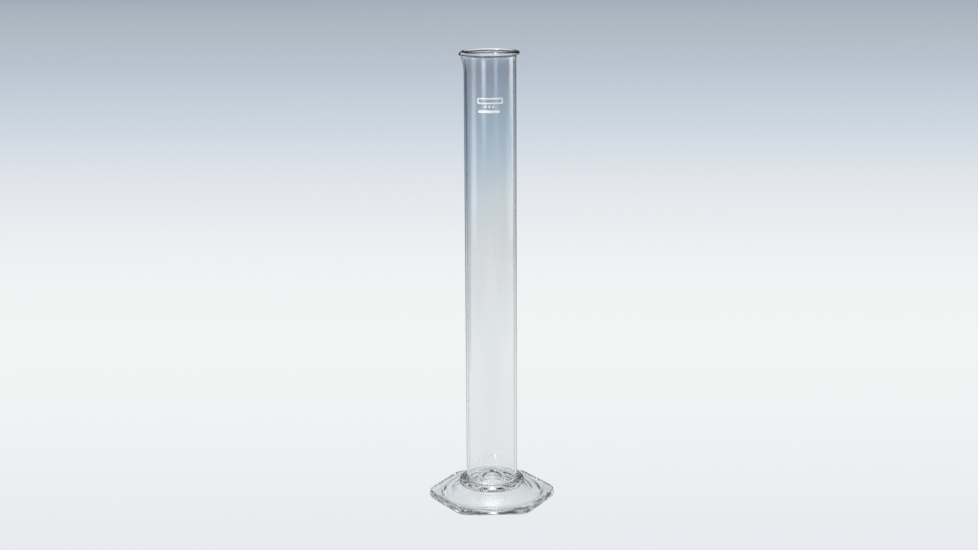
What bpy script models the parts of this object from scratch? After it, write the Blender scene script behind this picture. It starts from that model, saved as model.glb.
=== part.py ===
"""A tall glass cylinder jar: a straight tube with a beaded pouring rim, a domed bottom, a sealing
collar and a pressed hexagonal foot, with a plain white enamel marking near the top.

Metres, +Z up. The origin is the centre of the foot's contact plane, the tube's axis is Z, the spout
points to -X and the marking faces -Y. Touching pieces keep a small gap to each other.
"""

import math

import bmesh
import bpy
from mathutils import Matrix, Vector

# Tube
HEIGHT = 0.356
TUBE_RADIUS = 0.0201
WALL = 0.0015
BORE_RADIUS = TUBE_RADIUS - WALL
GAP = 0.0003

# Pouring rim: a bead rolled outwards on a short flare, and a spout pulled out of it
RIM_BAND = 0.018
BEAD_SECTION = 0.00125
BEAD_OVERHANG = 0.0026
BEAD_FILLET = 0.0012
MOUTH_FLARE = 0.0007
MOUTH_DEPTH = 0.006
SPOUT_PULL = 0.0028
SPOUT_DROP = 0.0022
SPOUT_THINNING = 0.55
SPOUT_HALF_ANGLE = math.radians(24)
SPOUT_DEPTH = 0.0155

# Foot: a hexagonal plate with flats across its corners, a domed top and a domed hollow beneath
FOOT_TURN = math.radians(2.2)
FOOT_APOTHEM = 0.0450
FOOT_CORNER_RADIUS = 0.0503
FOOT_ROUNDNESS = 60
FOOT_BOW = 0.06
PLATE_THICKNESS = 0.0060
PLATE_EDGE = 0.0008
PLATE_RIDGE = 0.0007
DOME_RADIUS = 0.0405
DOME_RISE = 0.0005
DOME_SAG = 0.00035
DOME_THICKNESS = 0.0050
SEAT_HEIGHT = 0.0116
SEAT_RADIUS = 0.0256
HOLLOW_RADIUS = 0.037
HOLLOW_SAG = 0.0009
THROAT_FILLET = 0.0022
CAVITY_RADIUS = 0.0086
CAVITY_CENTRE = 0.0109

# Bottom of the tube: a dome inside a rounded channel
DOME_TOP = 0.0227
CHANNEL_RADIUS = 0.0035
CHANNEL_HEIGHT = 0.0170

# Sealing collar
COLLAR_RADIUS = 0.0261
COLLAR_SECTION = 0.0029
COLLAR_CENTRE = 0.0139
COLLAR_FILLET = 0.0015

# White enamel marking, by its depth below the mouth and its size across the front
ENAMEL_THICKNESS = 0.0002
FRAME_DEPTH = 0.0356
FRAME_WIDTH = 0.0200
FRAME_HEIGHT = 0.0046
FRAME_STROKE = 0.0011
DOT_DEPTH = 0.0400
DOT_RADIUS = 0.0008
DOT_SPACING = 0.0030
DOT_SHIFT = -0.0006
BAR_DEPTH = 0.0436
BAR_WIDTH = 0.0166
BAR_HEIGHT = 0.0020
BAR_SHIFT = -0.0009

# Fineness
TUBE_STEPS = 64
FOOT_STEPS = 108
ARC_POINTS = 5
CORNER_POINTS = 4

CUT_MARGIN = 0.004


def clear_scene():
    for obj in list(bpy.data.objects):
        bpy.data.objects.remove(obj)


def new_collection(name):
    collection = bpy.data.collections.new(name)
    bpy.context.scene.collection.children.link(collection)
    return collection


def glass(name, colour, roughness):
    """A clear glass material with the tint of its piece."""
    material = bpy.data.materials.new(name)
    material.use_nodes = True
    shader = material.node_tree.nodes["Principled BSDF"]
    shader.inputs["Base Color"].default_value = (*colour, 1)
    shader.inputs["Roughness"].default_value = roughness
    shader.inputs["Metallic"].default_value = 0
    shader.inputs["Transmission Weight"].default_value = 1
    shader.inputs["IOR"].default_value = 1.474
    return material


def enamel(name):
    """Fired white enamel."""
    material = bpy.data.materials.new(name)
    material.use_nodes = True
    shader = material.node_tree.nodes["Principled BSDF"]
    shader.inputs["Base Color"].default_value = (0.86, 0.88, 0.88, 1)
    shader.inputs["Roughness"].default_value = 0.45
    shader.inputs["Metallic"].default_value = 0
    return material


def arc(centre, radius, start, end, count=ARC_POINTS):
    """Points (r, z) of a round stretch, from the start angle to the end angle in degrees."""
    points = []
    for i in range(count):
        angle = math.radians(start + (end - start) * i / (count - 1))
        points.append((centre[0] + radius * math.cos(angle), centre[1] + radius * math.sin(angle)))
    return points


def direction(start, end):
    """The angle in degrees of the way from one (r, z) point to another."""
    return math.degrees(math.atan2(end[1] - start[1], end[0] - start[0]))


def turned(name, profile, steps, collection, closed):
    """A piece turned about Z from its (r, z) profile, which runs down its outer side."""
    count = len(profile)
    edges = [(i, i + 1) for i in range(count - 1)]
    if closed:
        edges.append((count - 1, 0))
    mesh = bpy.data.meshes.new(name)
    mesh.from_pydata([(r, 0, z) for r, z in profile], edges, [])
    obj = bpy.data.objects.new(name, mesh)
    collection.objects.link(obj)
    screw = obj.modifiers.new("turn", "SCREW")
    screw.axis = "Z"
    screw.angle = 2 * math.pi
    screw.steps = steps
    screw.render_steps = steps
    screw.use_merge_vertices = True
    screw.merge_threshold = 0.00001
    screw.use_smooth_shade = True
    return obj


def applied(obj):
    """Makes the object's evaluated shape its own mesh."""
    graph = bpy.context.evaluated_depsgraph_get()
    mesh = bpy.data.meshes.new_from_object(obj.evaluated_get(graph))
    obj.modifiers.clear()
    obj.data = mesh
    return obj


def shade_round(obj):
    obj.data.shade_smooth()
    obj.data.set_sharp_from_angle(angle=math.radians(35))


def prism(name, outlines, thickness, matrix, collection):
    """A closed prism over flat outlines, the second of which is a hole in the first."""
    curve = bpy.data.curves.new(name, "CURVE")
    curve.dimensions = "2D"
    curve.fill_mode = "BOTH"
    curve.extrude = thickness / 2
    for outline in outlines:
        spline = curve.splines.new("POLY")
        spline.points.add(len(outline) - 1)
        for point, (x, y) in zip(spline.points, outline):
            point.co = (x, y, 0, 1)
        spline.use_cyclic_u = True
    drawn = bpy.data.objects.new(name + "_outline", curve)
    drawn.matrix_world = matrix
    collection.objects.link(drawn)
    bpy.context.view_layer.update()
    graph = bpy.context.evaluated_depsgraph_get()
    mesh = bpy.data.meshes.new_from_object(drawn.evaluated_get(graph))
    soup = bmesh.new()
    soup.from_mesh(mesh)
    bmesh.ops.remove_doubles(soup, verts=soup.verts, dist=0.000001)
    bmesh.ops.recalc_face_normals(soup, faces=soup.faces)
    soup.to_mesh(mesh)
    soup.free()
    obj = bpy.data.objects.new(name, mesh)
    obj.matrix_world = drawn.matrix_world
    collection.objects.link(obj)
    bpy.data.objects.remove(drawn)
    return obj


def as_cutter(obj):
    obj.hide_render = True
    obj.display_type = "WIRE"
    return obj


def boolean(obj, other, operation):
    modifier = obj.modifiers.new(operation.lower(), "BOOLEAN")
    modifier.operation = operation
    modifier.solver = "EXACT"
    modifier.object = other


def finished(obj, material):
    shade_round(obj)
    obj.data.materials.clear()
    obj.data.materials.append(material)
    return obj


def collar_top():
    """Where the collar's upper fillet runs out on the tube: its centre (r, z) and the bulge's."""
    bulge = (COLLAR_RADIUS - COLLAR_SECTION, COLLAR_CENTRE)
    reach = COLLAR_SECTION + COLLAR_FILLET
    fillet_r = TUBE_RADIUS + COLLAR_FILLET
    rise = math.sqrt(reach**2 - (bulge[0] - fillet_r) ** 2)
    return (fillet_r, bulge[1] + rise), bulge


def glass_tube(parts):
    """The straight wall, from the collar to the rim band."""
    low = collar_top()[0][1] + GAP
    high = HEIGHT - RIM_BAND - GAP
    profile = [(TUBE_RADIUS, high), (TUBE_RADIUS, low), (BORE_RADIUS, low), (BORE_RADIUS, high)]
    tube = applied(turned("glass_tube", profile, TUBE_STEPS, parts, closed=True))
    return finished(tube, glass("clear_glass_wall", (0.93, 0.95, 0.96), 0.02))


def rim_profile():
    """The beaded lip, from the top of the bead down the outside and up the bore."""
    bead = (TUBE_RADIUS + BEAD_OVERHANG - BEAD_SECTION, HEIGHT - BEAD_SECTION)
    reach = BEAD_SECTION + BEAD_FILLET
    fillet_r = TUBE_RADIUS + BEAD_FILLET
    drop = math.sqrt(reach**2 - (bead[0] - fillet_r) ** 2)
    fillet = (fillet_r, bead[1] - drop)
    under = direction(bead, fillet)
    points = arc(bead, BEAD_SECTION, 90, under, 2 * ARC_POINTS)
    points += arc(fillet, BEAD_FILLET, under + 180, 180, 4)[1:]
    base = HEIGHT - RIM_BAND
    points += [(TUBE_RADIUS, HEIGHT - SPOUT_DEPTH * share) for share in (0.5, 0.75, 1)]
    points += [(TUBE_RADIUS, base), (BORE_RADIUS, base)]
    points += [(BORE_RADIUS, HEIGHT - SPOUT_DEPTH * share) for share in (1, 0.75, 0.5)]
    lip = (BORE_RADIUS + MOUTH_FLARE, HEIGHT - BEAD_SECTION)
    points += [(BORE_RADIUS, HEIGHT - MOUTH_DEPTH), lip]
    width = bead[0] - lip[0]
    for angle in (math.radians(a) for a in (150, 120)):
        points.append((bead[0] + width * math.cos(angle), lip[1] + BEAD_SECTION * math.sin(angle)))
    return points


def spout_reach(point):
    """How near a point of the rim is to the spout's middle line, from 0 to 1."""
    across = math.atan2(point.y, -point.x) / SPOUT_HALF_ANGLE
    return 0 if abs(across) > 2 else math.exp(-1.6 * across**2)


def pouring_rim(parts):
    """The rim band, turned, and then pulled out, thinned and lowered at the spout."""
    rim = applied(turned("pouring_rim", rim_profile(), TUBE_STEPS, parts, closed=True))
    for vertex in rim.data.vertices:
        reach = spout_reach(vertex.co)
        climb = max(0, min(1, (vertex.co.z - (HEIGHT - SPOUT_DEPTH)) / SPOUT_DEPTH))
        share = reach * climb**1.6
        across = Vector((vertex.co.x, vertex.co.y, 0))
        proud = max(0, across.length - TUBE_RADIUS)
        vertex.co += across.normalized() * (SPOUT_PULL * share - proud * SPOUT_THINNING * reach)
        vertex.co.z -= SPOUT_DROP * share**2
    return finished(rim, glass("clear_glass_rim", (0.93, 0.95, 0.95), 0.02))


def floor_dome():
    """The centre height and the radius of the dome that meets the floor's channel in a tangent."""
    channel_r = BORE_RADIUS - CHANNEL_RADIUS
    drop = DOME_TOP - CHANNEL_HEIGHT
    radius = (channel_r**2 + drop**2 - CHANNEL_RADIUS**2) / (2 * (drop + CHANNEL_RADIUS))
    return DOME_TOP - radius, radius, channel_r


def tube_floor(parts):
    """The closed bottom: a dome in the bore, and under it the round end of the foot's cavity."""
    dome_z, dome_radius, channel_r = floor_dome()
    top = collar_top()[0][1]
    seat = SEAT_HEIGHT + GAP
    lean = direction((0, dome_z), (channel_r, CHANNEL_HEIGHT))
    points = arc((0, dome_z), dome_radius, 90, lean)
    points += arc((channel_r, CHANNEL_HEIGHT), CHANNEL_RADIUS, lean - 180, 0, 2 * ARC_POINTS)[1:]
    points += [(BORE_RADIUS, top), (TUBE_RADIUS, top), (TUBE_RADIUS, seat)]
    opening = math.degrees(math.asin((seat - CAVITY_CENTRE) / CAVITY_RADIUS))
    points += arc((0, CAVITY_CENTRE), CAVITY_RADIUS, opening, 90)
    points[0] = (0, points[0][1])
    points[-1] = (0, points[-1][1])
    floor = applied(turned("tube_floor", points, TUBE_STEPS, parts, closed=False))
    return finished(floor, glass("clear_glass_floor", (0.94, 0.96, 0.96), 0.03))


def sealing_collar(parts):
    """The ring of glass round the foot of the tube."""
    fillet, bulge = collar_top()
    inner = TUBE_RADIUS + GAP
    seat = SEAT_HEIGHT + GAP
    upper = direction(bulge, fillet)
    lower = math.degrees(math.asin((seat - bulge[1]) / COLLAR_SECTION))
    start = math.degrees(math.acos((inner - fillet[0]) / COLLAR_FILLET))
    points = arc(fillet, COLLAR_FILLET, 360 - start, 180 + upper, 5)
    points += arc(bulge, COLLAR_SECTION, upper, lower, 2 * ARC_POINTS)[1:]
    points += [(inner, seat)]
    collar = applied(turned("sealing_collar", points, TUBE_STEPS, parts, closed=True))
    return finished(collar, glass("clear_glass_collar", (0.92, 0.95, 0.95), 0.03))


def hexagon_radius(angle):
    """The foot's outline: slightly bowed sides, and six short flats across the corners."""
    total = 0
    for side in range(6):
        flat = math.cos(angle - FOOT_TURN - math.radians(60 * side + 30))
        corner = math.cos(angle - FOOT_TURN - math.radians(60 * side))
        total += max(0, flat * FOOT_CORNER_RADIUS / FOOT_APOTHEM) ** FOOT_ROUNDNESS
        total += max(0, corner) ** FOOT_ROUNDNESS
    straight = total ** (-1 / FOOT_ROUNDNESS)
    return FOOT_CORNER_RADIUS * ((1 - FOOT_BOW) * straight + FOOT_BOW)


def foot_plate(parts):
    """The hexagonal plate, lofted from face to face over the low ridge round its edge."""
    low = PLATE_EDGE
    high = PLATE_THICKNESS - PLATE_EDGE
    stations = [(PLATE_RIDGE + PLATE_EDGE, 0), (PLATE_RIDGE, low), (0, PLATE_THICKNESS / 2)]
    stations += [(PLATE_RIDGE, high), (PLATE_RIDGE + PLATE_EDGE, PLATE_THICKNESS)]
    soup = bmesh.new()
    rings = []
    for inset, height in stations:
        ring = []
        for i in range(FOOT_STEPS):
            angle = FOOT_TURN + 2 * math.pi * i / FOOT_STEPS
            radius = hexagon_radius(angle) - inset
            ring.append(soup.verts.new((radius * math.cos(angle), radius * math.sin(angle), height)))
        rings.append(ring)
    for lower, upper in zip(rings, rings[1:]):
        for i in range(FOOT_STEPS):
            after = (i + 1) % FOOT_STEPS
            soup.faces.new((lower[i], lower[after], upper[after], upper[i]))
    soup.faces.new(rings[-1])
    soup.faces.new(list(reversed(rings[0])))
    mesh = bpy.data.meshes.new("hexagonal_foot")
    soup.to_mesh(mesh)
    soup.free()
    plate = bpy.data.objects.new("hexagonal_foot", mesh)
    parts.objects.link(plate)
    return plate


def dome_height(radius):
    """The height of the foot's domed top between its edge and the seat."""
    share = (radius - SEAT_RADIUS) / (DOME_RADIUS - SEAT_RADIUS)
    edge_z = PLATE_THICKNESS + DOME_RISE
    return SEAT_HEIGHT + (edge_z - SEAT_HEIGHT) * share + 4 * DOME_SAG * share * (1 - share)


def foot_hollow():
    """The section of the hollow beneath: a low dome that rises to a narrow throat."""
    top = SEAT_HEIGHT + CUT_MARGIN
    level = SEAT_HEIGHT - DOME_THICKNESS
    throat = (CAVITY_RADIUS + THROAT_FILLET, SEAT_HEIGHT)
    points = [(0, top), (CAVITY_RADIUS, top)]
    points += arc(throat, THROAT_FILLET, 180, 270, ARC_POINTS)
    for i in range(2 * ARC_POINTS):
        share = 1 - i / (2 * ARC_POINTS)
        radius = HOLLOW_RADIUS + (SEAT_RADIUS - HOLLOW_RADIUS) * share
        points.append((radius, level * share + 4 * HOLLOW_SAG * share * (1 - share)))
    return points + [(HOLLOW_RADIUS, 0), (HOLLOW_RADIUS, -CUT_MARGIN), (0, -CUT_MARGIN)]


def hexagonal_foot(parts, cutters):
    """The plate with the dome joined on, then the hollow cut from below."""
    foot = foot_plate(parts)
    points = [(0, SEAT_HEIGHT)]
    for i in range(ARC_POINTS + 1):
        radius = SEAT_RADIUS + (DOME_RADIUS - SEAT_RADIUS) * i / ARC_POINTS
        points.append((radius, dome_height(radius)))
    points += [(DOME_RADIUS, PLATE_THICKNESS / 2), (0, PLATE_THICKNESS / 2)]
    dome = as_cutter(turned("foot_dome", points, FOOT_STEPS, cutters, closed=False))
    boolean(foot, dome, "UNION")
    recess = as_cutter(turned("foot_recess", foot_hollow(), FOOT_STEPS, cutters, closed=False))
    boolean(foot, recess, "DIFFERENCE")
    return finished(foot, glass("clear_glass_foot", (0.90, 0.94, 0.93), 0.04))


def rounded_rectangle(width, height, radius):
    """The outline of a rectangle with round corners, about its centre."""
    points = []
    for corner in range(4):
        right = 1 if corner in (0, 3) else -1
        up = 1 if corner in (0, 1) else -1
        centre = (right * (width / 2 - radius), up * (height / 2 - radius))
        points += arc(centre, radius, 90 * corner, 90 * corner + 90, CORNER_POINTS)
    return points


def enamel_mark(name, outlines, centre_x, depth, parts, cutters, material):
    """A thin patch on the front of the tube, the shape of its outline seen from the front."""
    inner = TUBE_RADIUS + GAP
    outer = inner + ENAMEL_THICKNESS
    middle = HEIGHT - depth
    high = middle + FRAME_HEIGHT
    low = middle - FRAME_HEIGHT
    profile = [(outer, high), (outer, low), (inner, low), (inner, high)]
    mark = turned(name, profile, 2 * TUBE_STEPS, parts, closed=True)
    place = Matrix.Translation((centre_x, -TUBE_RADIUS, middle))
    stamp = prism(
        name + "_stamp", outlines, TUBE_RADIUS, place @ Matrix.Rotation(math.pi / 2, 4, "X"), cutters
    )
    as_cutter(stamp)
    boolean(mark, stamp, "INTERSECT")
    return finished(mark, material)


def enamel_marking(parts, cutters):
    """An empty rounded frame over three dots over a plain bar."""
    white = enamel("white_enamel")
    hole = (FRAME_WIDTH - 2 * FRAME_STROKE, FRAME_HEIGHT - 2 * FRAME_STROKE)
    frame = [
        rounded_rectangle(FRAME_WIDTH, FRAME_HEIGHT, FRAME_HEIGHT / 3),
        rounded_rectangle(*hole, FRAME_HEIGHT / 3 - FRAME_STROKE / 2),
    ]
    enamel_mark("enamel_frame", frame, 0, FRAME_DEPTH, parts, cutters, white)
    dot = arc((0, 0), DOT_RADIUS, 0, 360, 13)[:-1]
    for place, side in enumerate(("left", "middle", "right")):
        offset = DOT_SHIFT + (place - 1) * DOT_SPACING
        enamel_mark("enamel_dot_" + side, [dot], offset, DOT_DEPTH, parts, cutters, white)
    bar = rounded_rectangle(BAR_WIDTH, BAR_HEIGHT, BAR_HEIGHT / 3)
    enamel_mark("enamel_bar", [bar], BAR_SHIFT, BAR_DEPTH, parts, cutters, white)


def main():
    clear_scene()
    parts = new_collection("glass_cylinder_jar")
    cutters = new_collection("cutters")
    glass_tube(parts)
    pouring_rim(parts)
    tube_floor(parts)
    sealing_collar(parts)
    hexagonal_foot(parts, cutters)
    enamel_marking(parts, cutters)


main()
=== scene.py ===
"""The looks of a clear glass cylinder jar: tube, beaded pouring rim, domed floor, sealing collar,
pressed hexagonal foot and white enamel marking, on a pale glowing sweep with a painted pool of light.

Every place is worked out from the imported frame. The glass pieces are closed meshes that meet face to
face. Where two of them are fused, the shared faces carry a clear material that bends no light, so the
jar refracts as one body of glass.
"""

import math

import bmesh
import bpy
from mathutils import Matrix, Vector, noise


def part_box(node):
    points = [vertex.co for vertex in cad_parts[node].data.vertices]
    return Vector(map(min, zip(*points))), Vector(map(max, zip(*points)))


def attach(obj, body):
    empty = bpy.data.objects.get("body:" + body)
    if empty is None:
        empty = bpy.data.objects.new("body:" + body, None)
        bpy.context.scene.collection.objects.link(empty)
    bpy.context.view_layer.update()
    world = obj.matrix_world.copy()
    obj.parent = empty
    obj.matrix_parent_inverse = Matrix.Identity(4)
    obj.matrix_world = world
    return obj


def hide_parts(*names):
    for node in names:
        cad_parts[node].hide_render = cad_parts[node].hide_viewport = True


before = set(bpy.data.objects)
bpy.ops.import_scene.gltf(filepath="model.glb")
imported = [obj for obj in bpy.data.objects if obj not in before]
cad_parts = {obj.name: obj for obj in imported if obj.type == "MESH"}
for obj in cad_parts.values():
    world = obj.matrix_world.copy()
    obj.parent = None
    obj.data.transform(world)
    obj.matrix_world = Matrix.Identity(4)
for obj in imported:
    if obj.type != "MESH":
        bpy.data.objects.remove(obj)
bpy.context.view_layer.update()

MM = 0.001
FULL_TURN = 2 * math.pi

# Fineness of the final meshes
TURN_STEPS = 192
TUBE_ROWS = 64
ARC_DEGREES = 9

# Rim
BEAD_RADIUS = 22.7 * MM
BEAD_SECTION = 1.25 * MM
BEAD_FILLET = 1.2 * MM
MOUTH_FLARE = 0.7 * MM
MOUTH_DEPTH = 6.0 * MM
SPOUT_DEPTH = 15.5 * MM
SPOUT_PULL = 2.8 * MM
SPOUT_DROP = 2.2 * MM
SPOUT_THINNING = 0.55
SPOUT_HALF_ANGLE = math.radians(24)
SPOUT_NARROWING = 1.6
SPOUT_CURL = 1.6

# Tube, its domed floor and the collar
WALL = 1.5 * MM
JOINT_GAP = 0.3 * MM
CHANNEL_RADIUS = 3.5 * MM
CHANNEL_RISE = 5.4 * MM
CAVITY_RADIUS = 8.6 * MM
CAVITY_DROP = 0.7 * MM
COLLAR_SECTION = 2.9 * MM
COLLAR_RISE = 2.3 * MM
COLLAR_FILLET = 1.5 * MM

# Foot
FOOT_TURN = math.radians(2.2)
FOOT_ROUNDNESS = 60
FOOT_APOTHEM = 45.0 * MM
FOOT_CORNER = 50.3 * MM
FOOT_BOW = 0.06
PLATE_THICKNESS = 6.0 * MM
TOP_EDGE = 0.8 * MM
BOTTOM_EDGE = 0.7 * MM
SIDE_RIDGE = 0.7 * MM
DOME_RADIUS = 40.5 * MM
DOME_STEP = 0.5 * MM
DOME_SAG = 0.35 * MM
STEP_SHOULDER = (0.35 * MM, 0.25 * MM)
LEDGE_START = 0.8 * MM
HOLLOW_RADIUS = 37.0 * MM
HOLLOW_SAG = 0.90 * MM
DOME_THICKNESS = 5.0 * MM
THROAT_FILLET = 2.2 * MM
THROAT_HEIGHT = 9.4 * MM

# Unevenness of worked glass
DRAW_LINES = 0.035 * MM
WORKED_WAVES = 0.05 * MM
PRESSED_WAVES = 0.10 * MM
EDGE_WAVES = 0.30 * MM

# Enamel
ENAMEL_LIFT = 0.02 * MM
ENAMEL_THICKNESS = 0.06 * MM
ENAMEL_GRAIN = 2600
ENAMEL_ROUGH = 0.02 * MM
ENAMEL_WHITES = ((0.25, (0.93, 0.94, 0.94)), (0.6, (0.99, 0.99, 0.99)))
FRAME_STROKE = 1.1 * MM
FRAME_SIZE = (20.2 * MM, 4.7 * MM)
FRAME_CORNER = 1.6 * MM
FRAME_DEPTH = 35.6 * MM
DOT_RADIUS = 0.8 * MM
DOT_SPACING = 3.0 * MM
DOT_SHIFT = -0.6 * MM
DOT_DEPTH = 40.0 * MM
BAR_SIZE = (16.8 * MM, 2.0 * MM)
BAR_SHIFT = -0.9 * MM
BAR_CORNER = 0.4 * MM
BAR_DEPTH = 43.6 * MM

GLASS_IOR = 1.474
TINT_AND_SHADE_REACH = 0.4
# The tube's colour by height: the glass's own faint green-grey tinge at the bottom, then painted shade
# that darkens it to a smoky blue grey towards the top, deepest just under the bead, above which it
# turns nearly clear again.
TUBE_TINT_AND_PAINTED_SHADE = (
    (0.00, (0.945, 0.955, 0.955)),
    (0.10, (0.948, 0.956, 0.955)),
    (0.20, (0.942, 0.954, 0.957)),
    (0.242, (0.903, 0.937, 0.950)),
    (0.272, (0.825, 0.884, 0.926)),
    (0.300, (0.788, 0.841, 0.878)),
    (0.3415, (0.735, 0.764, 0.798)),
    (0.3515, (0.82, 0.85, 0.875)),
    (0.3535, (0.985, 0.99, 0.99)),
)
RIPPLE_SHADE = 0.985
GLASS_RIPPLE = 0.1 * MM

# Painted shade where the glass is seen edge on, darkening its colour to stand for the dark edges of
# the glass: the most it can be, the least light it leaves, and its depth by height
EDGE_REACH = 40
EDGE_FLOOR = 0.1
EDGE_SHADE_DEPTHS = ((0.06, 3.8), (0.20, 8.6), (0.350, 8.6), (0.353, 3.0))
FOOT_TINTS = (
    (0.000, (0.89, 0.94, 0.925)),
    (0.005, (0.89, 0.94, 0.925)),
    (0.0075, (0.945, 0.965, 0.957)),
)

# Camera, measured from the jar's axis and the floor
CAMERA_DISTANCE = 1.308
CAMERA_HEIGHT = 0.488
CAMERA_SIDE = -0.0015
CAMERA_PITCH = math.radians(13.175)
CAMERA_ROLL = math.radians(-0.29)
CAMERA_LENS = 63.43

CLEAR, FUSED = 0, 1
ON_AXIS = 0.001 * MM
CREASE_ANGLE = math.radians(38)


def read_places():
    """The jar's main sizes and heights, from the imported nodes."""
    tube_low, tube_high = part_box("glass_tube")
    rim_low, rim_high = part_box("pouring_rim")
    floor_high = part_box("tube_floor")[1]
    collar_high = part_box("sealing_collar")[1]
    foot_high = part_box("hexagonal_foot")[1]
    return {
        "tube_radius": tube_high[0],
        "bore_radius": tube_high[0] - WALL,
        "rim_base": (tube_high[2] + rim_low[2]) / 2,
        "mouth": rim_high[2],
        "joint": tube_low[2] - JOINT_GAP,
        "dome_top": floor_high[2],
        "collar_radius": collar_high[0],
        "seat": foot_high[2],
        "foot_corner": foot_high[0],
    }


PLACES = read_places()


# ---------------------------------------------------------------- profiles

def arc(centre, radius, start, end):
    """Points (r, z) of a round stretch from the start angle to the end angle, in degrees."""
    count = max(2, round(abs(end - start) / ARC_DEGREES))
    points = []
    for i in range(count + 1):
        angle = math.radians(start + (end - start) * i / count)
        points.append((centre[0] + radius * math.cos(angle), centre[1] + radius * math.sin(angle)))
    return points


def run(start, end, count):
    """Evenly spaced points (r, z) after the start, up to and with the end."""
    points = []
    for i in range(1, count + 1):
        share = i / count
        points.append(tuple(a + (b - a) * share for a, b in zip(start, end)))
    return points


def direction(start, end):
    """The angle in degrees of the way from one (r, z) point to another."""
    return math.degrees(math.atan2(end[1] - start[1], end[0] - start[0]))


class Profile:
    """A closed section, run down its outer side, whose bands each carry a material slot."""

    def __init__(self):
        self.points = []
        self.slots = []
        self.shares = []

    def add(self, points, slot=CLEAR, share=0.0):
        """Adds points: slot is the material of the bands that lead to them."""
        for point in points:
            self.points.append(point)
            self.slots.append(slot)
            self.shares.append(share)
        return self


def linked(name, data):
    """A new object, put in the scene."""
    obj = bpy.data.objects.new(name, data)
    bpy.context.scene.collection.objects.link(obj)
    return obj


def finished(name, soup, materials):
    """An object from a finished bmesh, with its materials in their slots."""
    mesh = bpy.data.meshes.new(name)
    soup.to_mesh(mesh)
    soup.free()
    for material in materials:
        mesh.materials.append(material)
    return linked(name, mesh)


def turned(name, profile, place, materials):
    """A closed mesh swept round Z.

    place(point, angle, share) gives each point of the surface, where share is the profile's own value
    at that point.
    """
    soup = bmesh.new()
    rings = []
    for point, share in zip(profile.points, profile.shares):
        if point[0] < ON_AXIS:
            rings.append([soup.verts.new((0, 0, point[1]))] * TURN_STEPS)
            continue
        ring = []
        for step in range(TURN_STEPS):
            ring.append(soup.verts.new(place(point, FULL_TURN * step / TURN_STEPS, share)))
        rings.append(ring)
    count = len(rings)
    open_ended = profile.points[0][0] < ON_AXIS and profile.points[-1][0] < ON_AXIS
    for i in range(count - 1 if open_ended else count):
        upper = rings[i]
        lower = rings[(i + 1) % count]
        slot = profile.slots[(i + 1) % count]
        for step in range(TURN_STEPS):
            after = (step + 1) % TURN_STEPS
            corners = [upper[step], lower[step], lower[after], upper[after]]
            corners = list(dict.fromkeys(corners))
            face = soup.faces.new(corners)
            face.material_index = slot
            face.smooth = True
    mark_creases(soup)
    return finished(name, soup, materials)


def mark_creases(soup):
    """Sharpens the edges where the surface turns hard or changes its material."""
    for edge in soup.edges:
        if len(edge.link_faces) != 2:
            continue
        first, second = edge.link_faces
        changes = first.material_index != second.material_index
        edge.smooth = not changes and edge.calc_face_angle(0) < CREASE_ANGLE


# ---------------------------------------------------------------- unevenness

def swell(angle, height, turns, stretch, seed):
    """A smooth value from about -1 to 1 that repeats once round the jar."""
    around = Vector((math.cos(angle), math.sin(angle), 0)) * turns
    return noise.noise(around + Vector((seed, -seed, height * stretch)))


def polar(radius, angle, height):
    return Vector((radius * math.cos(angle), radius * math.sin(angle), height))


def smooth_step(value):
    value = max(0.0, min(1.0, value))
    return value * value * (3 - 2 * value)


# ---------------------------------------------------------------- materials

def new_material(name):
    material = bpy.data.materials.new(name)
    material.use_nodes = True
    nodes = material.node_tree.nodes
    nodes.clear()
    return material, nodes, material.node_tree.links


def maths(nodes, links, operation, first, second=None):
    node = nodes.new("ShaderNodeMath")
    node.operation = operation
    for socket, value in zip(node.inputs, (first, second)):
        if value is None:
            continue
        if isinstance(value, (int, float)):
            socket.default_value = value
        else:
            links.new(value, socket)
    return node.outputs["Value"]


def fine_ripple(nodes, links, place, scale):
    """A fine noise over the surface, stretched by its scale along each axis."""
    stretch = nodes.new("ShaderNodeMapping")
    stretch.inputs["Scale"].default_value = scale
    links.new(place, stretch.inputs["Vector"])
    noise_map = nodes.new("ShaderNodeTexNoise")
    noise_map.inputs["Scale"].default_value = 1
    noise_map.inputs["Detail"].default_value = 2
    links.new(stretch.outputs["Vector"], noise_map.inputs["Vector"])
    return noise_map.outputs["Fac"]


def bumped(nodes, links, shader, value, strength, distance):
    """Lets a value raise and sink the shader's surface."""
    height = nodes.new("ShaderNodeBump")
    height.inputs["Strength"].default_value = strength
    height.inputs["Distance"].default_value = distance
    links.new(value, height.inputs["Height"])
    links.new(height.outputs["Normal"], shader.inputs["Normal"])


def stepped_ramp(nodes, links, stops, value):
    """A colour ramp of (place, colour) stops, read at a value."""
    ramp = nodes.new("ShaderNodeValToRGB")
    elements = ramp.color_ramp.elements
    while len(elements) < len(stops):
        elements.new(1.0)
    for element, (place, colour) in zip(elements, stops):
        element.position = place
        element.color = (*colour, 1)
    links.new(value, ramp.inputs["Fac"])
    return ramp.outputs["Color"]


def painted_edge_shade(nodes, links, height_share, power, strength):
    """How much light the painted edge shade leaves where the glass turns edge on: the painted shade
    grows with the height.
    """
    slant = nodes.new("ShaderNodeLayerWeight")
    slant.inputs["Blend"].default_value = 0.5
    edge = maths(nodes, links, "POWER", slant.outputs["Facing"], power)
    stops = []
    for level, value in EDGE_SHADE_DEPTHS:
        share = value * strength / EDGE_REACH
        stops.append((level / TINT_AND_SHADE_REACH, (share, share, share)))
    depth = stepped_ramp(nodes, links, stops, height_share)
    edge = maths(nodes, links, "MULTIPLY", edge, EDGE_REACH)
    edge = maths(nodes, links, "MULTIPLY", edge, depth)
    return maths(nodes, links, "MAXIMUM", maths(nodes, links, "SUBTRACT", 1, edge), EDGE_FLOOR)


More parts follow.
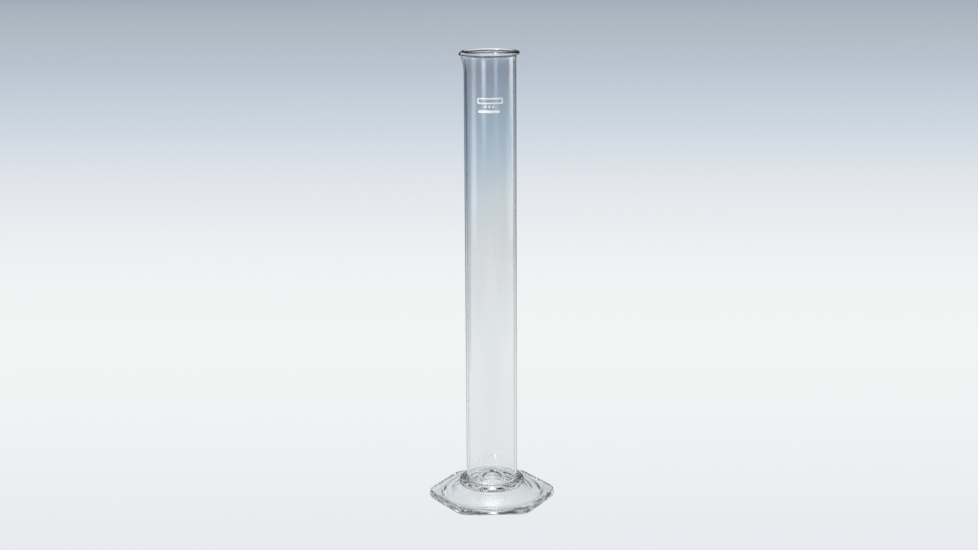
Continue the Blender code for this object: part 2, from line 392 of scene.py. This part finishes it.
def clear_glass(name, tints_and_shade, line_scale, bump, edge_power, edge_strength):
    """Clear glass: its colour by height, varied a little along the fine ripple of its surface, and
    darkened with painted shade where it is seen edge on. The colours are a list of (height in metres,
    colour); for the tube they also hold painted shade that darkens the glass towards the top.
    """
    material, nodes, links = new_material(name)
    output = nodes.new("ShaderNodeOutputMaterial")
    shader = nodes.new("ShaderNodeBsdfPrincipled")
    shader.inputs["Transmission Weight"].default_value = 1
    shader.inputs["IOR"].default_value = GLASS_IOR
    shader.inputs["Roughness"].default_value = 0
    place = nodes.new("ShaderNodeTexCoord").outputs["Object"]
    lines = fine_ripple(nodes, links, place, line_scale)
    bumped(nodes, links, shader, lines, bump, GLASS_RIPPLE)
    parts = nodes.new("ShaderNodeSeparateXYZ")
    links.new(place, parts.inputs["Vector"])
    height_share = maths(nodes, links, "DIVIDE", parts.outputs["Z"], TINT_AND_SHADE_REACH)
    stops = [(level / TINT_AND_SHADE_REACH, colour) for level, colour in tints_and_shade]
    tint_and_shade = stepped_ramp(nodes, links, stops, height_share)
    shade = nodes.new("ShaderNodeMapRange")
    shade.inputs["To Min"].default_value = RIPPLE_SHADE
    shade.inputs["To Max"].default_value = 1
    links.new(lines, shade.inputs["Value"])
    left = painted_edge_shade(nodes, links, height_share, edge_power, edge_strength)
    shaded = maths(nodes, links, "MULTIPLY", shade.outputs["Result"], left)
    varied = nodes.new("ShaderNodeMix")
    varied.data_type = "RGBA"
    varied.blend_type = "MULTIPLY"
    varied.inputs["Factor"].default_value = 1
    links.new(tint_and_shade, varied.inputs["A"])
    links.new(shaded, varied.inputs["B"])
    links.new(varied.outputs["Result"], shader.inputs["Base Color"])
    links.new(shader.outputs["BSDF"], output.inputs["Surface"])
    return material


def fused_glass():
    """The unseen face where two pieces of glass are melted into one."""
    material, nodes, links = new_material("fused_joint")
    output = nodes.new("ShaderNodeOutputMaterial")
    shader = nodes.new("ShaderNodeBsdfTransparent")
    links.new(shader.outputs["BSDF"], output.inputs["Surface"])
    return material


def white_enamel():
    """Fired white enamel: a chalky print with a fine grain and a slightly thinner, greyer mottle."""
    material, nodes, links = new_material("fired_enamel")
    output = nodes.new("ShaderNodeOutputMaterial")
    shader = nodes.new("ShaderNodeBsdfPrincipled")
    shader.inputs["IOR"].default_value = 1.5
    place = nodes.new("ShaderNodeTexCoord")
    grain = nodes.new("ShaderNodeTexNoise")
    grain.inputs["Scale"].default_value = ENAMEL_GRAIN
    grain.inputs["Detail"].default_value = 3
    links.new(place.outputs["Object"], grain.inputs["Vector"])
    colour = stepped_ramp(nodes, links, ENAMEL_WHITES, grain.outputs["Fac"])
    links.new(colour, shader.inputs["Base Color"])
    matt = nodes.new("ShaderNodeMapRange")
    matt.inputs["To Min"].default_value = 0.4
    matt.inputs["To Max"].default_value = 0.6
    links.new(grain.outputs["Fac"], matt.inputs["Value"])
    links.new(matt.outputs["Result"], shader.inputs["Roughness"])
    bumped(nodes, links, shader, grain.outputs["Fac"], 0.3, ENAMEL_ROUGH)
    links.new(shader.outputs["BSDF"], output.inputs["Surface"])
    return material


# ---------------------------------------------------------------- glass pieces

def draw_line(angle, height):
    """How far the bore strays at a point, in the long lines that drawing the tube leaves."""
    return DRAW_LINES * (swell(angle, height, 3.2, 1.5, 4.0) + 0.5 * swell(angle, height, 9, 3, 9.0))


def wall_place(point, angle, share):
    """The drawn tube: round and straight outside, with faint long lines in its bore."""
    radius, height = point
    if radius < PLACES["tube_radius"] - 0.5 * WALL:
        fade = smooth_step((height - PLACES["joint"]) / (10 * MM))
        radius += fade * draw_line(angle, height)
    return polar(radius, angle, height)


def glass_wall(material, joint):
    tube, bore = PLACES["tube_radius"], PLACES["bore_radius"]
    high, low = PLACES["rim_base"], PLACES["joint"]
    section = Profile()
    section.add([(tube, high)], FUSED)
    section.add(run((tube, high), (tube, low), TUBE_ROWS))
    section.add([(bore, low)], FUSED)
    section.add(run((bore, low), (bore, high), TUBE_ROWS))
    return turned("glass_wall", section, wall_place, [material, joint])


def rim_place(point, angle, share):
    """The rim band, pulled out, thinned and a little lowered where the spout is."""
    radius, height = point
    tube = PLACES["tube_radius"]
    across = math.atan2(math.sin(angle), -math.cos(angle)) / SPOUT_HALF_ANGLE
    climb = max(0.0, min(1.0, (height - PLACES["mouth"] + SPOUT_DEPTH) / SPOUT_DEPTH))
    reach = math.exp(-SPOUT_NARROWING * across**2)
    follow = reach * climb**SPOUT_CURL
    wave = WORKED_WAVES * climb * swell(angle, height, 2.6, 40, 2.0)
    if radius < tube - 0.5 * WALL:
        radius += (1 - climb) * draw_line(angle, height)
    radius -= max(0, radius - tube) * SPOUT_THINNING * reach
    lowered = SPOUT_DROP * follow**2 - 0.4 * min(0, wave)
    return polar(radius + SPOUT_PULL * follow + wave, angle, height - lowered)


def beaded_rim(material, joint):
    """The lip: down round the bead and the outside, across the joint, and up the bore."""
    tube, bore = PLACES["tube_radius"], PLACES["bore_radius"]
    mouth, base = PLACES["mouth"], PLACES["rim_base"]
    bead = (BEAD_RADIUS - BEAD_SECTION, mouth - BEAD_SECTION)
    fillet_r = tube + BEAD_FILLET
    drop = math.sqrt((BEAD_SECTION + BEAD_FILLET) ** 2 - (bead[0] - fillet_r) ** 2)
    fillet = (fillet_r, bead[1] - drop)
    under = direction(bead, fillet)
    lip = (bore + MOUTH_FLARE, mouth - BEAD_SECTION)
    section = Profile()
    section.add(arc(bead, BEAD_SECTION, 90, under))
    section.add(arc(fillet, BEAD_FILLET, under + 180, 180)[1:])
    section.add(run((tube, fillet[1]), (tube, base), 16))
    section.add([(bore, base)], FUSED)
    section.add(run((bore, base), (bore, mouth - MOUTH_DEPTH), 14))
    for i in range(1, 9):
        rise = i / 8
        section.add([(
            bore + MOUTH_FLARE * rise**2,
            mouth - MOUTH_DEPTH + (MOUTH_DEPTH - BEAD_SECTION) * rise,
        )])
    width = bead[0] - lip[0]
    for degrees in range(170, 95, -10):
        angle = math.radians(degrees)
        section.add([(bead[0] + width * math.cos(angle), lip[1] + BEAD_SECTION * math.sin(angle))])
    return turned("beaded_rim", section, rim_place, [material, joint])


def cavity_circle():
    """The round end of the hollow that the press left: its centre height and its radius."""
    return PLACES["seat"] - CAVITY_DROP, CAVITY_RADIUS


def cavity_mouth():
    """The hollow's radius at the seat, where the floor meets the foot."""
    centre, radius = cavity_circle()
    return math.sqrt(radius**2 - (PLACES["seat"] - centre) ** 2)


def floor_place(point, angle, share):
    """The floor's inside is a little wavy. Its fused faces and its cavity are true."""
    radius, height = point
    wave = WORKED_WAVES * swell(angle, height, 1.3, 90, 6.0)
    inside = radius < PLACES["bore_radius"] - 0.2 * MM and height > PLACES["seat"] + 0.1 * MM
    return polar(radius, angle, height + (wave if inside else 0))


def domed_floor(material, joint):
    """The closed bottom: a dome in a rounded channel above, the end of the hollow beneath."""
    tube, bore, seat = PLACES["tube_radius"], PLACES["bore_radius"], PLACES["seat"]
    channel = (bore - CHANNEL_RADIUS, seat + CHANNEL_RISE)
    drop = PLACES["dome_top"] - channel[1]
    dome = (channel[0] ** 2 + drop**2 - CHANNEL_RADIUS**2) / (2 * (drop + CHANNEL_RADIUS))
    centre = (0, PLACES["dome_top"] - dome)
    lean = direction(centre, channel)
    section = Profile()
    section.add(arc(centre, dome, 90, lean))
    section.points[0] = (0, section.points[0][1])
    section.add(arc(channel, CHANNEL_RADIUS, lean - 180, 0)[1:])
    section.add(run(channel, (bore, PLACES["joint"]), 1))
    section.points[-2] = (bore, channel[1])
    section.add([(tube, PLACES["joint"])], FUSED)
    section.add(run((tube, PLACES["joint"]), (tube, seat), 6), FUSED)
    section.add([(cavity_mouth(), seat)], FUSED)
    cavity_z, cavity_r = cavity_circle()
    opening = math.degrees(math.asin((seat - cavity_z) / cavity_r))
    section.add(arc((0, cavity_z), cavity_r, opening, 90)[1:])
    section.points[-1] = (0, section.points[-1][1])
    return turned("domed_floor", section, floor_place, [material, joint])


def collar_bulge():
    """The middle of the collar's round section, as (r, z)."""
    return PLACES["collar_radius"] - COLLAR_SECTION, PLACES["seat"] + COLLAR_RISE


def collar_place(point, angle, share):
    """The seal was turned by hand: its bulge swells and sinks a little round the jar."""
    radius, height = point
    out = (radius - PLACES["tube_radius"]) / (PLACES["collar_radius"] - PLACES["tube_radius"])
    wave = 3 * WORKED_WAVES * out * (swell(angle, height, 1.6, 0, 1.0) - 0.5)
    rise = 2 * WORKED_WAVES * out * swell(angle, height, 2.2, 0, 7.0)
    if height < PLACES["seat"] + 0.1 * MM:
        rise = 0
    return polar(radius + wave, angle, height + rise)


def fused_collar(material, joint):
    """The ring of glass that seals the tube to the foot."""
    tube, seat = PLACES["tube_radius"], PLACES["seat"]
    bulge = collar_bulge()
    fillet = (tube + COLLAR_FILLET, PLACES["joint"])
    upper = direction(bulge, fillet)
    lower = math.degrees(math.asin((seat - bulge[1]) / COLLAR_SECTION))
    section = Profile()
    section.add(arc(fillet, COLLAR_FILLET, 180, 180 + upper), CLEAR)
    section.slots[0] = FUSED
    section.add(arc(bulge, COLLAR_SECTION, upper, lower)[1:])
    section.add([(tube, seat)], FUSED)
    section.add(run((tube, seat), (tube, PLACES["joint"]), 6)[:-1], FUSED)
    return turned("fused_collar", section, collar_place, [material, joint])


def hexagon_radius(angle):
    """The foot's outline: slightly bowed sides and six short flats across the corners."""
    angle -= FOOT_TURN
    total = 0
    for side in range(6):
        flat = math.cos(angle - math.radians(60 * side + 30)) / FOOT_APOTHEM
        corner = math.cos(angle - math.radians(60 * side)) / FOOT_CORNER
        total += max(0, flat * MM) ** FOOT_ROUNDNESS + max(0, corner * MM) ** FOOT_ROUNDNESS
    straight = total ** (-1 / FOOT_ROUNDNESS) * MM
    return straight * (1 - FOOT_BOW) + FOOT_CORNER * FOOT_BOW


def foot_place(point, angle, share):
    """share is 0 on the round parts of the foot and 1 on its hexagonal edge."""
    radius, height = point
    outline = hexagon_radius(angle) - (PLACES["foot_corner"] - radius)
    place = radius * (1 - share) + outline * share
    place -= share * EDGE_WAVES * (0.5 + 0.5 * swell(angle, height, 5.5, 60, 3.0))
    fade = smooth_step((place - PLACES["collar_radius"]) / (6 * MM))
    fade *= smooth_step((height - 0.4 * MM) / (1.6 * MM)) * (1 - share)
    ripple = PRESSED_WAVES * fade * swell(angle, place + 3 * height, 4.5, 60, 8.0)
    low = 1 - smooth_step((height - 1 * MM) / (2 * MM))
    lift = share * low * EDGE_WAVES * (0.5 + 0.5 * swell(angle, 0, 6.0, 0, 5.5))
    return polar(place, angle, height + ripple + lift)


def foot_crease():
    """Where the collar's bulge meets the top of the foot."""
    bulge = collar_bulge()
    return bulge[0] + math.sqrt(COLLAR_SECTION**2 - (PLACES["seat"] - bulge[1]) ** 2)


def dome_height(radius):
    """The height of the foot's domed top between its edge and the collar."""
    crease, seat = foot_crease(), PLACES["seat"]
    share = (radius - crease) / (DOME_RADIUS - crease)
    low = PLATE_THICKNESS + DOME_STEP
    return seat + (low - seat) * share + 4 * DOME_SAG * share * (1 - share)


def foot_top(section):
    """Seat, dome, the small step at its edge, and the ledge out to the hexagon."""
    seat, corner = PLACES["seat"], PLACES["foot_corner"]
    section.add([(cavity_mouth(), seat)])
    section.add([(PLACES["tube_radius"], seat), (foot_crease(), seat)], FUSED)
    for radius, height in run((foot_crease(), 0), (DOME_RADIUS, 0), 24):
        section.add([(radius, dome_height(radius))])
    section.add([(DOME_RADIUS + STEP_SHOULDER[0], PLATE_THICKNESS + STEP_SHOULDER[1])])
    ledge = DOME_RADIUS + LEDGE_START
    section.add([(ledge, PLATE_THICKNESS)])
    for i in range(1, 7):
        share = i / 6
        radius = ledge + (corner - TOP_EDGE - ledge) * share
        section.add([(radius, PLATE_THICKNESS)], share=share)


def foot_side(section):
    """The hexagonal edge, with the low ridge that the two halves of the mould leave."""
    corner = PLACES["foot_corner"]
    side = corner - SIDE_RIDGE
    top, bottom = PLATE_THICKNESS - TOP_EDGE, BOTTOM_EDGE
    middle = (top + bottom) / 2
    section.add(arc((side - TOP_EDGE, top), TOP_EDGE, 90, 0), share=1)
    section.add(run((side, top), (corner, middle), 3), share=1)
    section.add(run((corner, middle), (side, bottom), 3), share=1)
    section.add(arc((side - BOTTOM_EDGE, bottom), BOTTOM_EDGE, 0, -90)[1:], share=1)
    for i in range(1, 5):
        share = i / 5
        radius = side - BOTTOM_EDGE + (HOLLOW_RADIUS - side + BOTTOM_EDGE) * share
        section.add([(radius, 0)], share=1 - share)


def foot_underside(section):
    """The hollow underneath rises as a low dome, then through the throat to the seat."""
    hole, seat = cavity_mouth(), PLACES["seat"]
    crease = foot_crease()
    level = seat - DOME_THICKNESS
    start = (HOLLOW_RADIUS, 0)
    section.add([start])
    for i in range(1, 25):
        share = i / 24
        radius = HOLLOW_RADIUS + (crease - HOLLOW_RADIUS) * share
        height = level * share + 4 * HOLLOW_SAG * share * (1 - share)
        section.add([(radius, height)])
    throat = (hole + THROAT_FILLET, THROAT_HEIGHT + THROAT_FILLET)
    section.add(run((crease, level), (throat[0], THROAT_HEIGHT), 12))
    section.add(arc(throat, THROAT_FILLET, 270, 180)[1:])
    section.points[-1] = (hole, throat[1])


def pressed_foot(material, joint):
    """The foot, in one section: its top, its edge, then its hollow underside."""
    section = Profile()
    foot_top(section)
    foot_side(section)
    foot_underside(section)
    return turned("pressed_foot", section, foot_place, [material, joint])


# ---------------------------------------------------------------- enamel

def wrap(soup, centre, x, z, radius):
    """A point of the print, x along the curve of the tube and z up from the print's centre."""
    angle = -math.pi / 2 + (centre[0] + x) / PLACES["tube_radius"]
    return soup.verts.new(polar(radius, angle, centre[1] + z))


def finish_print(name, soup, material):
    bmesh.ops.recalc_face_normals(soup, faces=soup.faces)
    return finished(name, soup, [material])


def rounded_outline(width, height, radius, corner_points=9, side_points=30):
    """Points round a rectangle with round corners, its long sides divided to follow the tube."""
    points = []
    for corner in range(4):
        right = 1 if corner in (0, 3) else -1
        up = 1 if corner in (0, 1) else -1
        centre = (right * (width / 2 - radius), up * (height / 2 - radius))
        for i in range(corner_points):
            angle = math.radians(90 * corner + 90 * i / (corner_points - 1))
            points.append((
                centre[0] + radius * math.cos(angle), centre[1] + radius * math.sin(angle)
            ))
        if corner % 2 == 0:
            for i in range(1, side_points):
                points.append((centre[0] * (1 - 2 * i / side_points), up * height / 2))
    return points


def printed_outline(name, outer, inner, centre, material):
    """A printed line between two outlines that have as many points."""
    soup = bmesh.new()
    low = PLACES["tube_radius"] + ENAMEL_LIFT
    high = low + ENAMEL_THICKNESS
    rings = []
    for outline, radius in ((outer, low), (outer, high), (inner, high), (inner, low)):
        rings.append([wrap(soup, centre, x, z, radius) for x, z in outline])
    for first, second in zip(rings, rings[1:] + rings[:1]):
        for i in range(len(outer)):
            j = (i + 1) % len(outer)
            soup.faces.new([first[i], first[j], second[j], second[i]])
    return finish_print(name, soup, material)


def printed_spot(name, columns, centre, material):
    """A filled print, cut in upright columns (x, lower z, upper z) that follow the tube."""
    soup = bmesh.new()
    low = PLACES["tube_radius"] + ENAMEL_LIFT
    high = low + ENAMEL_THICKNESS
    rings = []
    for x, bottom, top in columns:
        corners = ((bottom, low), (bottom, high), (top, high), (top, low))
        rings.append([wrap(soup, centre, x, z, radius) for z, radius in corners])
    for first, second in zip(rings, rings[1:]):
        for i in range(4):
            j = (i + 1) % 4
            soup.faces.new([first[i], first[j], second[j], second[i]])
    soup.faces.new(rings[0])
    soup.faces.new(rings[-1])
    return finish_print(name, soup, material)


def round_columns(radius, count=20):
    columns = []
    for i in range(count + 1):
        angle = math.radians(172 - 164 * i / count)
        reach = radius * math.sin(angle)
        columns.append((radius * math.cos(angle), -reach, reach))
    return columns


def bar_columns(width, height, corner, count=36):
    """A bar with rounded corners, in columns."""
    columns = []
    straight = width / 2 - corner
    for i in range(7):
        angle = math.radians(175 - 85 * i / 6)
        reach = height / 2 - corner + corner * math.sin(angle)
        columns.append((-straight + corner * math.cos(angle), -reach, reach))
    for i in range(1, count):
        columns.append((-straight + 2 * straight * i / count, -height / 2, height / 2))
    for x, bottom, top in reversed(columns[:7]):
        columns.append((-x, bottom, top))
    return columns


def enamel_marking(material):
    """A frame, three dots and a bar: plain shapes where the jar carries its maker's printing."""
    top = PLACES["mouth"]
    prints = []
    width, height = FRAME_SIZE
    outer = rounded_outline(width, height, FRAME_CORNER)
    inner = rounded_outline(
        width - 2 * FRAME_STROKE, height - 2 * FRAME_STROKE, FRAME_CORNER - FRAME_STROKE
    )
    centre = (0, top - FRAME_DEPTH)
    prints.append((printed_outline("printed_frame", outer, inner, centre, material), "enamel_frame"))
    for word, shift in (("left", -DOT_SPACING), ("middle", 0), ("right", DOT_SPACING)):
        centre = (shift + DOT_SHIFT, top - DOT_DEPTH)
        spot = printed_spot(f"printed_dot_{word}", round_columns(DOT_RADIUS), centre, material)
        prints.append((spot, f"enamel_dot_{word}"))
    centre = (BAR_SHIFT, top - BAR_DEPTH)
    columns = bar_columns(*BAR_SIZE, BAR_CORNER)
    prints.append((printed_spot("printed_bar", columns, centre, material), "enamel_bar"))
    return prints


# ---------------------------------------------------------------- surroundings

def tone(red, green, blue):
    """Scene values that show as this display colour, each from 0 to 255."""
    values = []
    for value in (red, green, blue):
        value /= 255
        values.append(value / 12.92 if value <= 0.04045 else ((value + 0.055) / 1.055) ** 2.4)
    return tuple(values)


# Sweep: a glowing sheet with a painted pool of light. Its tone falls with the distance from the middle
# of the painted pool, and faster beyond the sides of the paper and in front of the jar
POOL_CENTRE = 0.45
POOL_FRONT = 1.3
FRONT_START = 0.15
FRONT_FALL = 7.0
PAPER_APEX = 1.6
PAPER_SPREAD = 0.27
LEFT_FALL = 30.0
RIGHT_FALL = 12.0
POOL_REACH = 10.0
FAR_TONE = (84, 92, 101)
# Painted light: the sweep's tones, from the bright middle of the painted pool out to its dark far end.
PAINTED_POOL_TONES = (
    (0.0, (243, 245, 244)),
    (0.35, (240, 241, 243)),
    (0.52, (237, 238, 240)),
    (0.73, (231, 234, 238)),
    (1.00, (225, 229, 234)),
    (1.27, (215, 222, 230)),
    (1.65, (204, 214, 224)),
    (2.15, (195, 205, 217)),
    (2.75, (185, 195, 207)),
    (3.60, (177, 187, 198)),
    (4.80, (165, 178, 189)),
    (8.50, FAR_TONE),
)


def toned_ramp(nodes, links, stops, reach, value):
    """A ramp of (place, display colour) stops that reach from 0 to 1, read at a value."""
    toned = [(place / reach, tone(*colour)) for place, colour in stops]
    return stepped_ramp(nodes, links, toned, value)


def sweep_material():
    """A pale glowing sweep with a painted pool of light: bright round the jar, bluer and darker as it
    recedes.
    """
    material, nodes, links = new_material("sweep")
    output = nodes.new("ShaderNodeOutputMaterial")
    place = nodes.new("ShaderNodeTexCoord")
    parts = nodes.new("ShaderNodeSeparateXYZ")
    links.new(place.outputs["Object"], parts.inputs["Vector"])
    x, y = parts.outputs["X"], parts.outputs["Y"]

    def part(operation, first, second=None):
        return maths(nodes, links, operation, first, second)

    def over(value, start, rate):
        """How far a value is past its start, times a rate."""
        return part("MULTIPLY", part("MAXIMUM", part("SUBTRACT", value, start), 0), rate)

    behind = over(y, POOL_CENTRE, 1)
    ahead = over(part("MULTIPLY", y, -1), -POOL_CENTRE, POOL_FRONT)
    front = over(part("MULTIPLY", y, -1), FRONT_START, FRONT_FALL)
    width = part("MAXIMUM", part("ADD", y, PAPER_APEX), 0.25)
    aside = part("DIVIDE", x, width)
    right = over(aside, PAPER_SPREAD, RIGHT_FALL)
    left = over(part("MULTIPLY", aside, -1), PAPER_SPREAD, LEFT_FALL)
    distance = part("ADD", part("ADD", behind, ahead), part("ADD", front, part("ADD", left, right)))
    share = part("DIVIDE", distance, POOL_REACH)
    colour = toned_ramp(nodes, links, PAINTED_POOL_TONES, POOL_REACH, share)
    glow = nodes.new("ShaderNodeEmission")
    links.new(colour, glow.inputs["Color"])
    links.new(glow.outputs["Emission"], output.inputs["Surface"])
    return material


def sweep():
    bpy.ops.mesh.primitive_circle_add(vertices=128, radius=9.0, fill_type="NGON")
    floor = bpy.context.object
    floor.name = "sweep"
    floor.data.materials.append(sweep_material())
    return floor


SKY_TONES = (
    (0.00, FAR_TONE),
    (0.18, (80, 88, 97)),
    (0.40, (62, 68, 76)),
    (0.70, (40, 44, 50)),
    (1.00, (34, 37, 42)),
)


def surroundings():
    """A dim studio: the far sweep's tone at the horizon, darker towards the ceiling."""
    world = bpy.data.worlds.new("studio")
    bpy.context.scene.world = world
    world.use_nodes = True
    nodes, links = world.node_tree.nodes, world.node_tree.links
    nodes.clear()
    output = nodes.new("ShaderNodeOutputWorld")
    place = nodes.new("ShaderNodeTexCoord")
    parts = nodes.new("ShaderNodeSeparateXYZ")
    links.new(place.outputs["Generated"], parts.inputs["Vector"])
    steepness = maths(nodes, links, "ABSOLUTE", parts.outputs["Z"])
    colour = toned_ramp(nodes, links, SKY_TONES, 1.0, steepness)
    glow = nodes.new("ShaderNodeBackground")
    links.new(colour, glow.inputs["Color"])
    links.new(glow.outputs["Background"], output.inputs["Surface"])


def aimed(obj, place, aim):
    """Puts obj at a place with its -Z side to a point."""
    obj.location = place
    obj.rotation_euler = (Vector(aim) - Vector(place)).to_track_quat("-Z", "Y").to_euler()
    obj.visible_camera = False
    return obj


def sheet(name, corners, material):
    """A flat sheet between four corners."""
    mesh = bpy.data.meshes.new(name)
    mesh.from_pydata(corners, [], [(0, 1, 2, 3)])
    mesh.materials.append(material)
    return linked(name, mesh)


def soft_edged(nodes, links, glow, cover, output):
    """A glowing sheet that thins out to nothing where its cover, from 0 to 1, falls away."""
    clear = nodes.new("ShaderNodeBsdfTransparent")
    blend = nodes.new("ShaderNodeMixShader")
    links.new(cover, blend.inputs["Fac"])
    links.new(clear.outputs["BSDF"], blend.inputs[1])
    links.new(glow.outputs["Emission"], blend.inputs[2])
    links.new(blend.outputs["Shader"], output.inputs["Surface"])


def fading(nodes, links, value, gone, whole):
    """A cover that runs smoothly from 0 where the value is gone to 1 where it is whole."""
    fade = nodes.new("ShaderNodeMapRange")
    fade.interpolation_type = "SMOOTHERSTEP"
    fade.inputs["From Min"].default_value = gone
    fade.inputs["From Max"].default_value = whole
    links.new(value, fade.inputs["Value"])
    return fade.outputs["Result"]


def softbox(name, place, aim, size, strength):
    """A diffusing panel, brightest in the middle, that fades out to its edges."""
    material, nodes, links = new_material(name)
    output = nodes.new("ShaderNodeOutputMaterial")
    place_on = nodes.new("ShaderNodeTexCoord")
    parts = nodes.new("ShaderNodeSeparateXYZ")
    links.new(place_on.outputs["Object"], parts.inputs["Vector"])
    fades = []
    for axis in ("X", "Y"):
        reach = maths(nodes, links, "ABSOLUTE", parts.outputs[axis])
        fades.append(fading(nodes, links, reach, 0.5, 0))
    glow = nodes.new("ShaderNodeEmission")
    glow.inputs["Strength"].default_value = strength
    soft_edged(nodes, links, glow, maths(nodes, links, "MULTIPLY", *fades), output)
    corners = [(-0.5, -0.5, 0), (-0.5, 0.5, 0), (0.5, 0.5, 0), (0.5, -0.5, 0)]
    obj = sheet(name, corners, material)
    aimed(obj, place, aim)
    obj.scale = (*size, 1)
    return obj


CARD_DEPTH = 0.35
CARD_HEIGHT = 0.40
CARD_FADE = 0.06
CARD_REACH = (-0.223, -0.053)
CARD_TONES = (
    (0.00, (230, 236, 240)),
    (0.03, (206, 216, 222)),
    (0.075, (198, 210, 218)),
    (0.125, (196, 208, 218)),
    (0.175, (191, 204, 217)),
    (0.25, (192, 201, 213)),
    (0.33, (190, 201, 212)),
)
FLAG_REACH = (0.105, 0.45)
FLAG_TONES = (
    (0.00, (215, 220, 224)),
    (0.06, (170, 180, 188)),
    (0.12, (110, 120, 130)),
    (0.18, (60, 68, 76)),
    (0.33, (60, 68, 76)),
)


def graded_card(name, reach, outer_fade, tones):
    """A card behind the jar, graded by height, that thins out at its top and its outer side."""
    material, nodes, links = new_material(name)
    output = nodes.new("ShaderNodeOutputMaterial")
    place = nodes.new("ShaderNodeTexCoord")
    parts = nodes.new("ShaderNodeSeparateXYZ")
    links.new(place.outputs["Object"], parts.inputs["Vector"])
    share = maths(nodes, links, "DIVIDE", parts.outputs["Z"], CARD_HEIGHT)
    colour = toned_ramp(nodes, links, tones, CARD_HEIGHT, share)
    glow = nodes.new("ShaderNodeEmission")
    links.new(colour, glow.inputs["Color"])
    outer = max(reach, key=abs)
    inward = outer - math.copysign(outer_fade, outer)
    side = fading(nodes, links, parts.outputs["X"], outer, inward)
    top = fading(nodes, links, parts.outputs["Z"], CARD_HEIGHT, CARD_HEIGHT - CARD_FADE)
    soft_edged(nodes, links, glow, maths(nodes, links, "MULTIPLY", side, top), output)
    low, high = reach
    corners = [(low, 0, 0), (high, 0, 0), (high, 0, CARD_HEIGHT), (low, 0, CARD_HEIGHT)]
    card = sheet(name, corners, material)
    card.location = (0, CARD_DEPTH, 0)
    card.visible_camera = False
    return card


def cards():
    """A grey card for the jar's left band, and two dark flags that only its outer edges mirror."""
    low, high = FLAG_REACH
    flags = [
        graded_card("flag_right", (low, high), CARD_FADE, FLAG_TONES),
        graded_card("flag_left", (-high, -low), CARD_FADE, FLAG_TONES),
    ]
    for flag in flags:
        flag.visible_transmission = False
    return [graded_card("grey_card", CARD_REACH, CARD_FADE, CARD_TONES), *flags]


def round_lamp(name, place, aim, size, power):
    lamp = bpy.data.lights.new(name, "AREA")
    lamp.shape = "DISK"
    lamp.size = size
    lamp.energy = power
    return aimed(linked(name, lamp), place, aim)


# Panels: name, place, the point they face, width and height, strength
SIDE_PANELS = (
    ("side_right", (0.97, 0.26, 0.22), (0, 0, 0.22), (0.87, 0.66), 7.0),
    ("side_left", (-0.96, -0.26, 0.22), (0, 0, 0.22), (0.75, 0.66), 3.6),
)
PANELS = (
    ("front_left", (-0.70, -1.32, 0.45), (0, 0, 0.45), (0.9, 1.0), 12),
    ("low_right", (0.75, 0.05, 0.14), (0, 0, 0.02), (0.9, 0.34), 1.2),
    ("low_back", (0.3, 0.75, 0.07), (0, 0, 0.02), (1.0, 0.26), 0.8),
    ("high_back", (0, 1.0, 1.7), (0, 0, 0.1), (1.4, 0.9), 1.8),
    ("ceiling", (0, -0.35, 2.0), (0, 0, 0.3), (2.2, 2.2), 4.8),
)
# Lamps: name, place, the point they face, diameter, power
OVERHEAD = ("overhead", (0.33, 0.18, 1.52), (0, 0, 0.3), 0.06, 0.4)
FILL = ("fill", (-0.3, -1.2, 0.9), (0, 0, 0.3), 0.6, 4.5)


def studio_lights():
    """The soft panels and cards round the jar, and two lamps. The fill is for the enamel."""
    round_lamp(*OVERHEAD)
    fill = round_lamp(*FILL)
    fill.visible_glossy = False
    fill.visible_transmission = False
    sides = [softbox(*panel) for panel in SIDE_PANELS]
    for side in sides:
        side.visible_transmission = False
    return sides + [softbox(*panel) for panel in PANELS] + cards()


def camera():
    lens = bpy.data.cameras.new("camera")
    lens.lens = CAMERA_LENS
    lens.sensor_width = 36
    lens.clip_start = 0.05
    lens.clip_end = 60
    obj = linked("camera", lens)
    obj.location = (CAMERA_SIDE, -CAMERA_DISTANCE, CAMERA_HEIGHT)
    turn = Matrix.Rotation(math.pi / 2 - CAMERA_PITCH, 4, "X")
    roll = Matrix.Rotation(CAMERA_ROLL, 4, "Z")
    obj.rotation_euler = (turn @ roll).to_euler()
    bpy.context.scene.camera = obj


def render_look():
    scene = bpy.context.scene
    scene.view_settings.view_transform = "Standard"
    scene.cycles.max_bounces = 24
    scene.cycles.transmission_bounces = 24
    scene.cycles.transparent_max_bounces = 24
    scene.cycles.glossy_bounces = 12
    scene.cycles.use_denoising = True
    scene.cycles.caustics_reflective = True
    scene.cycles.caustics_refractive = True


# ---------------------------------------------------------------- the jar

def build_jar():
    joint = fused_glass()
    # The last two numbers of each glass shape the painted shade at its edges.
    body = clear_glass("clear_glass", TUBE_TINT_AND_PAINTED_SHADE, (60, 60, 4), 0.15, 12, 3.3)
    seal = clear_glass("collar_glass", TUBE_TINT_AND_PAINTED_SHADE, (60, 60, 4), 0.15, 4, 1.2)
    foot_body = clear_glass("foot_glass", FOOT_TINTS, (40, 40, 90), 0.2, 8, 0.25)
    made = [
        (glass_wall(body, joint), "glass_tube", "tube_glass"),
        (beaded_rim(body, joint), "pouring_rim", "rim_glass"),
        (domed_floor(body, joint), "tube_floor", "floor_glass"),
        (fused_collar(seal, joint), "sealing_collar", "collar_glass"),
        (pressed_foot(foot_body, joint), "hexagonal_foot", "foot_glass"),
    ]
    for piece, node in enamel_marking(white_enamel()):
        made.append((piece, node, "white_enamel"))
    for piece, node, slot in made:
        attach(piece, "root")
        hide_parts(node)


build_jar()
sweep()
studio_lights()
surroundings()
camera()
render_look()
